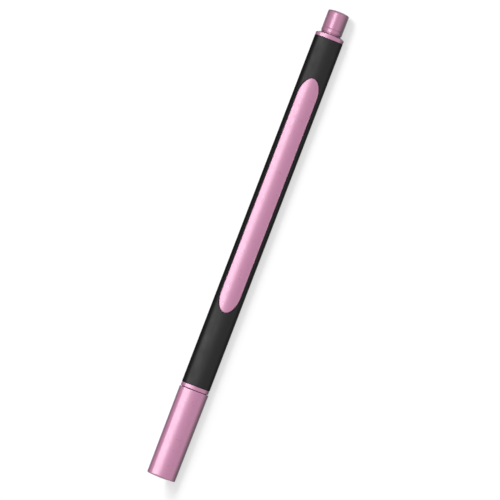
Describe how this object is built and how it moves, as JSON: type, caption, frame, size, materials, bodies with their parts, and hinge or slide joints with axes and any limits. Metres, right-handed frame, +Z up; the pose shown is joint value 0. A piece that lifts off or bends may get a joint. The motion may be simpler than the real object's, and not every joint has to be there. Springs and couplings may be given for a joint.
{
  "type": "paint marker",
  "caption": "Capped metallic paint marker with a rounded-triangle barrel, soft black sleeve with an oval colour window, sprung valve tip and mixing balls.",
  "frame": {"origin": "middle of the bounding box's base, under the middle of the lying pen", "axes": "+X along the pen from the cap to the end plug, +Z up; the window faces -Y, 30 degrees up"},
  "size_m": [0.1542, 0.0094, 0.0092],
  "materials": {
    "pink_metallic": "pearly metallic pink, satin gloss",
    "soft_black": "soft-touch matt black",
    "dark_plastic": "dark moulded plastic, satin",
    "natural_plastic": "undyed moulded plastic",
    "black_rubber": "matt black rubber",
    "tip_fibre": "bonded fibre, stained by the paint",
    "pale_sponge": "open-pored felt",
    "spring_steel": "drawn steel wire",
    "ball_steel": "polished steel"
  },
  "bodies": {
    "barrel": {"barrel_core": "pink_metallic", "soft_sleeve": "soft_black", "end_plug": "pink_metallic", "plug_seal_ring": "black_rubber", "nose_section": "dark_plastic", "nose_seal_ring": "black_rubber", "feed_sponge": "pale_sponge", "valve_gasket": "black_rubber", "valve_cage": "natural_plastic", "valve_spring": "spring_steel"},
    "cap": {"cap_shell": "pink_metallic", "cap_liner": "natural_plastic"},
    "tip_unit": {"writing_tip": "tip_fibre", "tip_carrier": "natural_plastic", "valve_stem": "natural_plastic"},
    "front_ball": {"mixing_ball_front": "ball_steel"},
    "rear_ball": {"mixing_ball_rear": "ball_steel"}
  },
  "joints": [
    {"name": "cap_pull", "type": "slide", "parent": "barrel", "child": "cap", "axis": [-1, 0, 0], "range_m": [0, 0.03]},
    {"name": "tip_press", "type": "slide", "parent": "barrel", "child": "tip_unit", "axis": [1, 0, 0], "range_m": [0, 0.0012], "stiffness_N_per_m": 300, "deforming": ["valve_spring"]},
    {"name": "front_ball_slide", "type": "slide", "parent": "barrel", "child": "front_ball", "axis": [1, 0, 0], "range_m": [0, 0.0442]},
    {"name": "rear_ball_slide", "type": "slide", "parent": "barrel", "child": "rear_ball", "axis": [1, 0, 0], "range_m": [-0.0442, 0]}
  ]
}
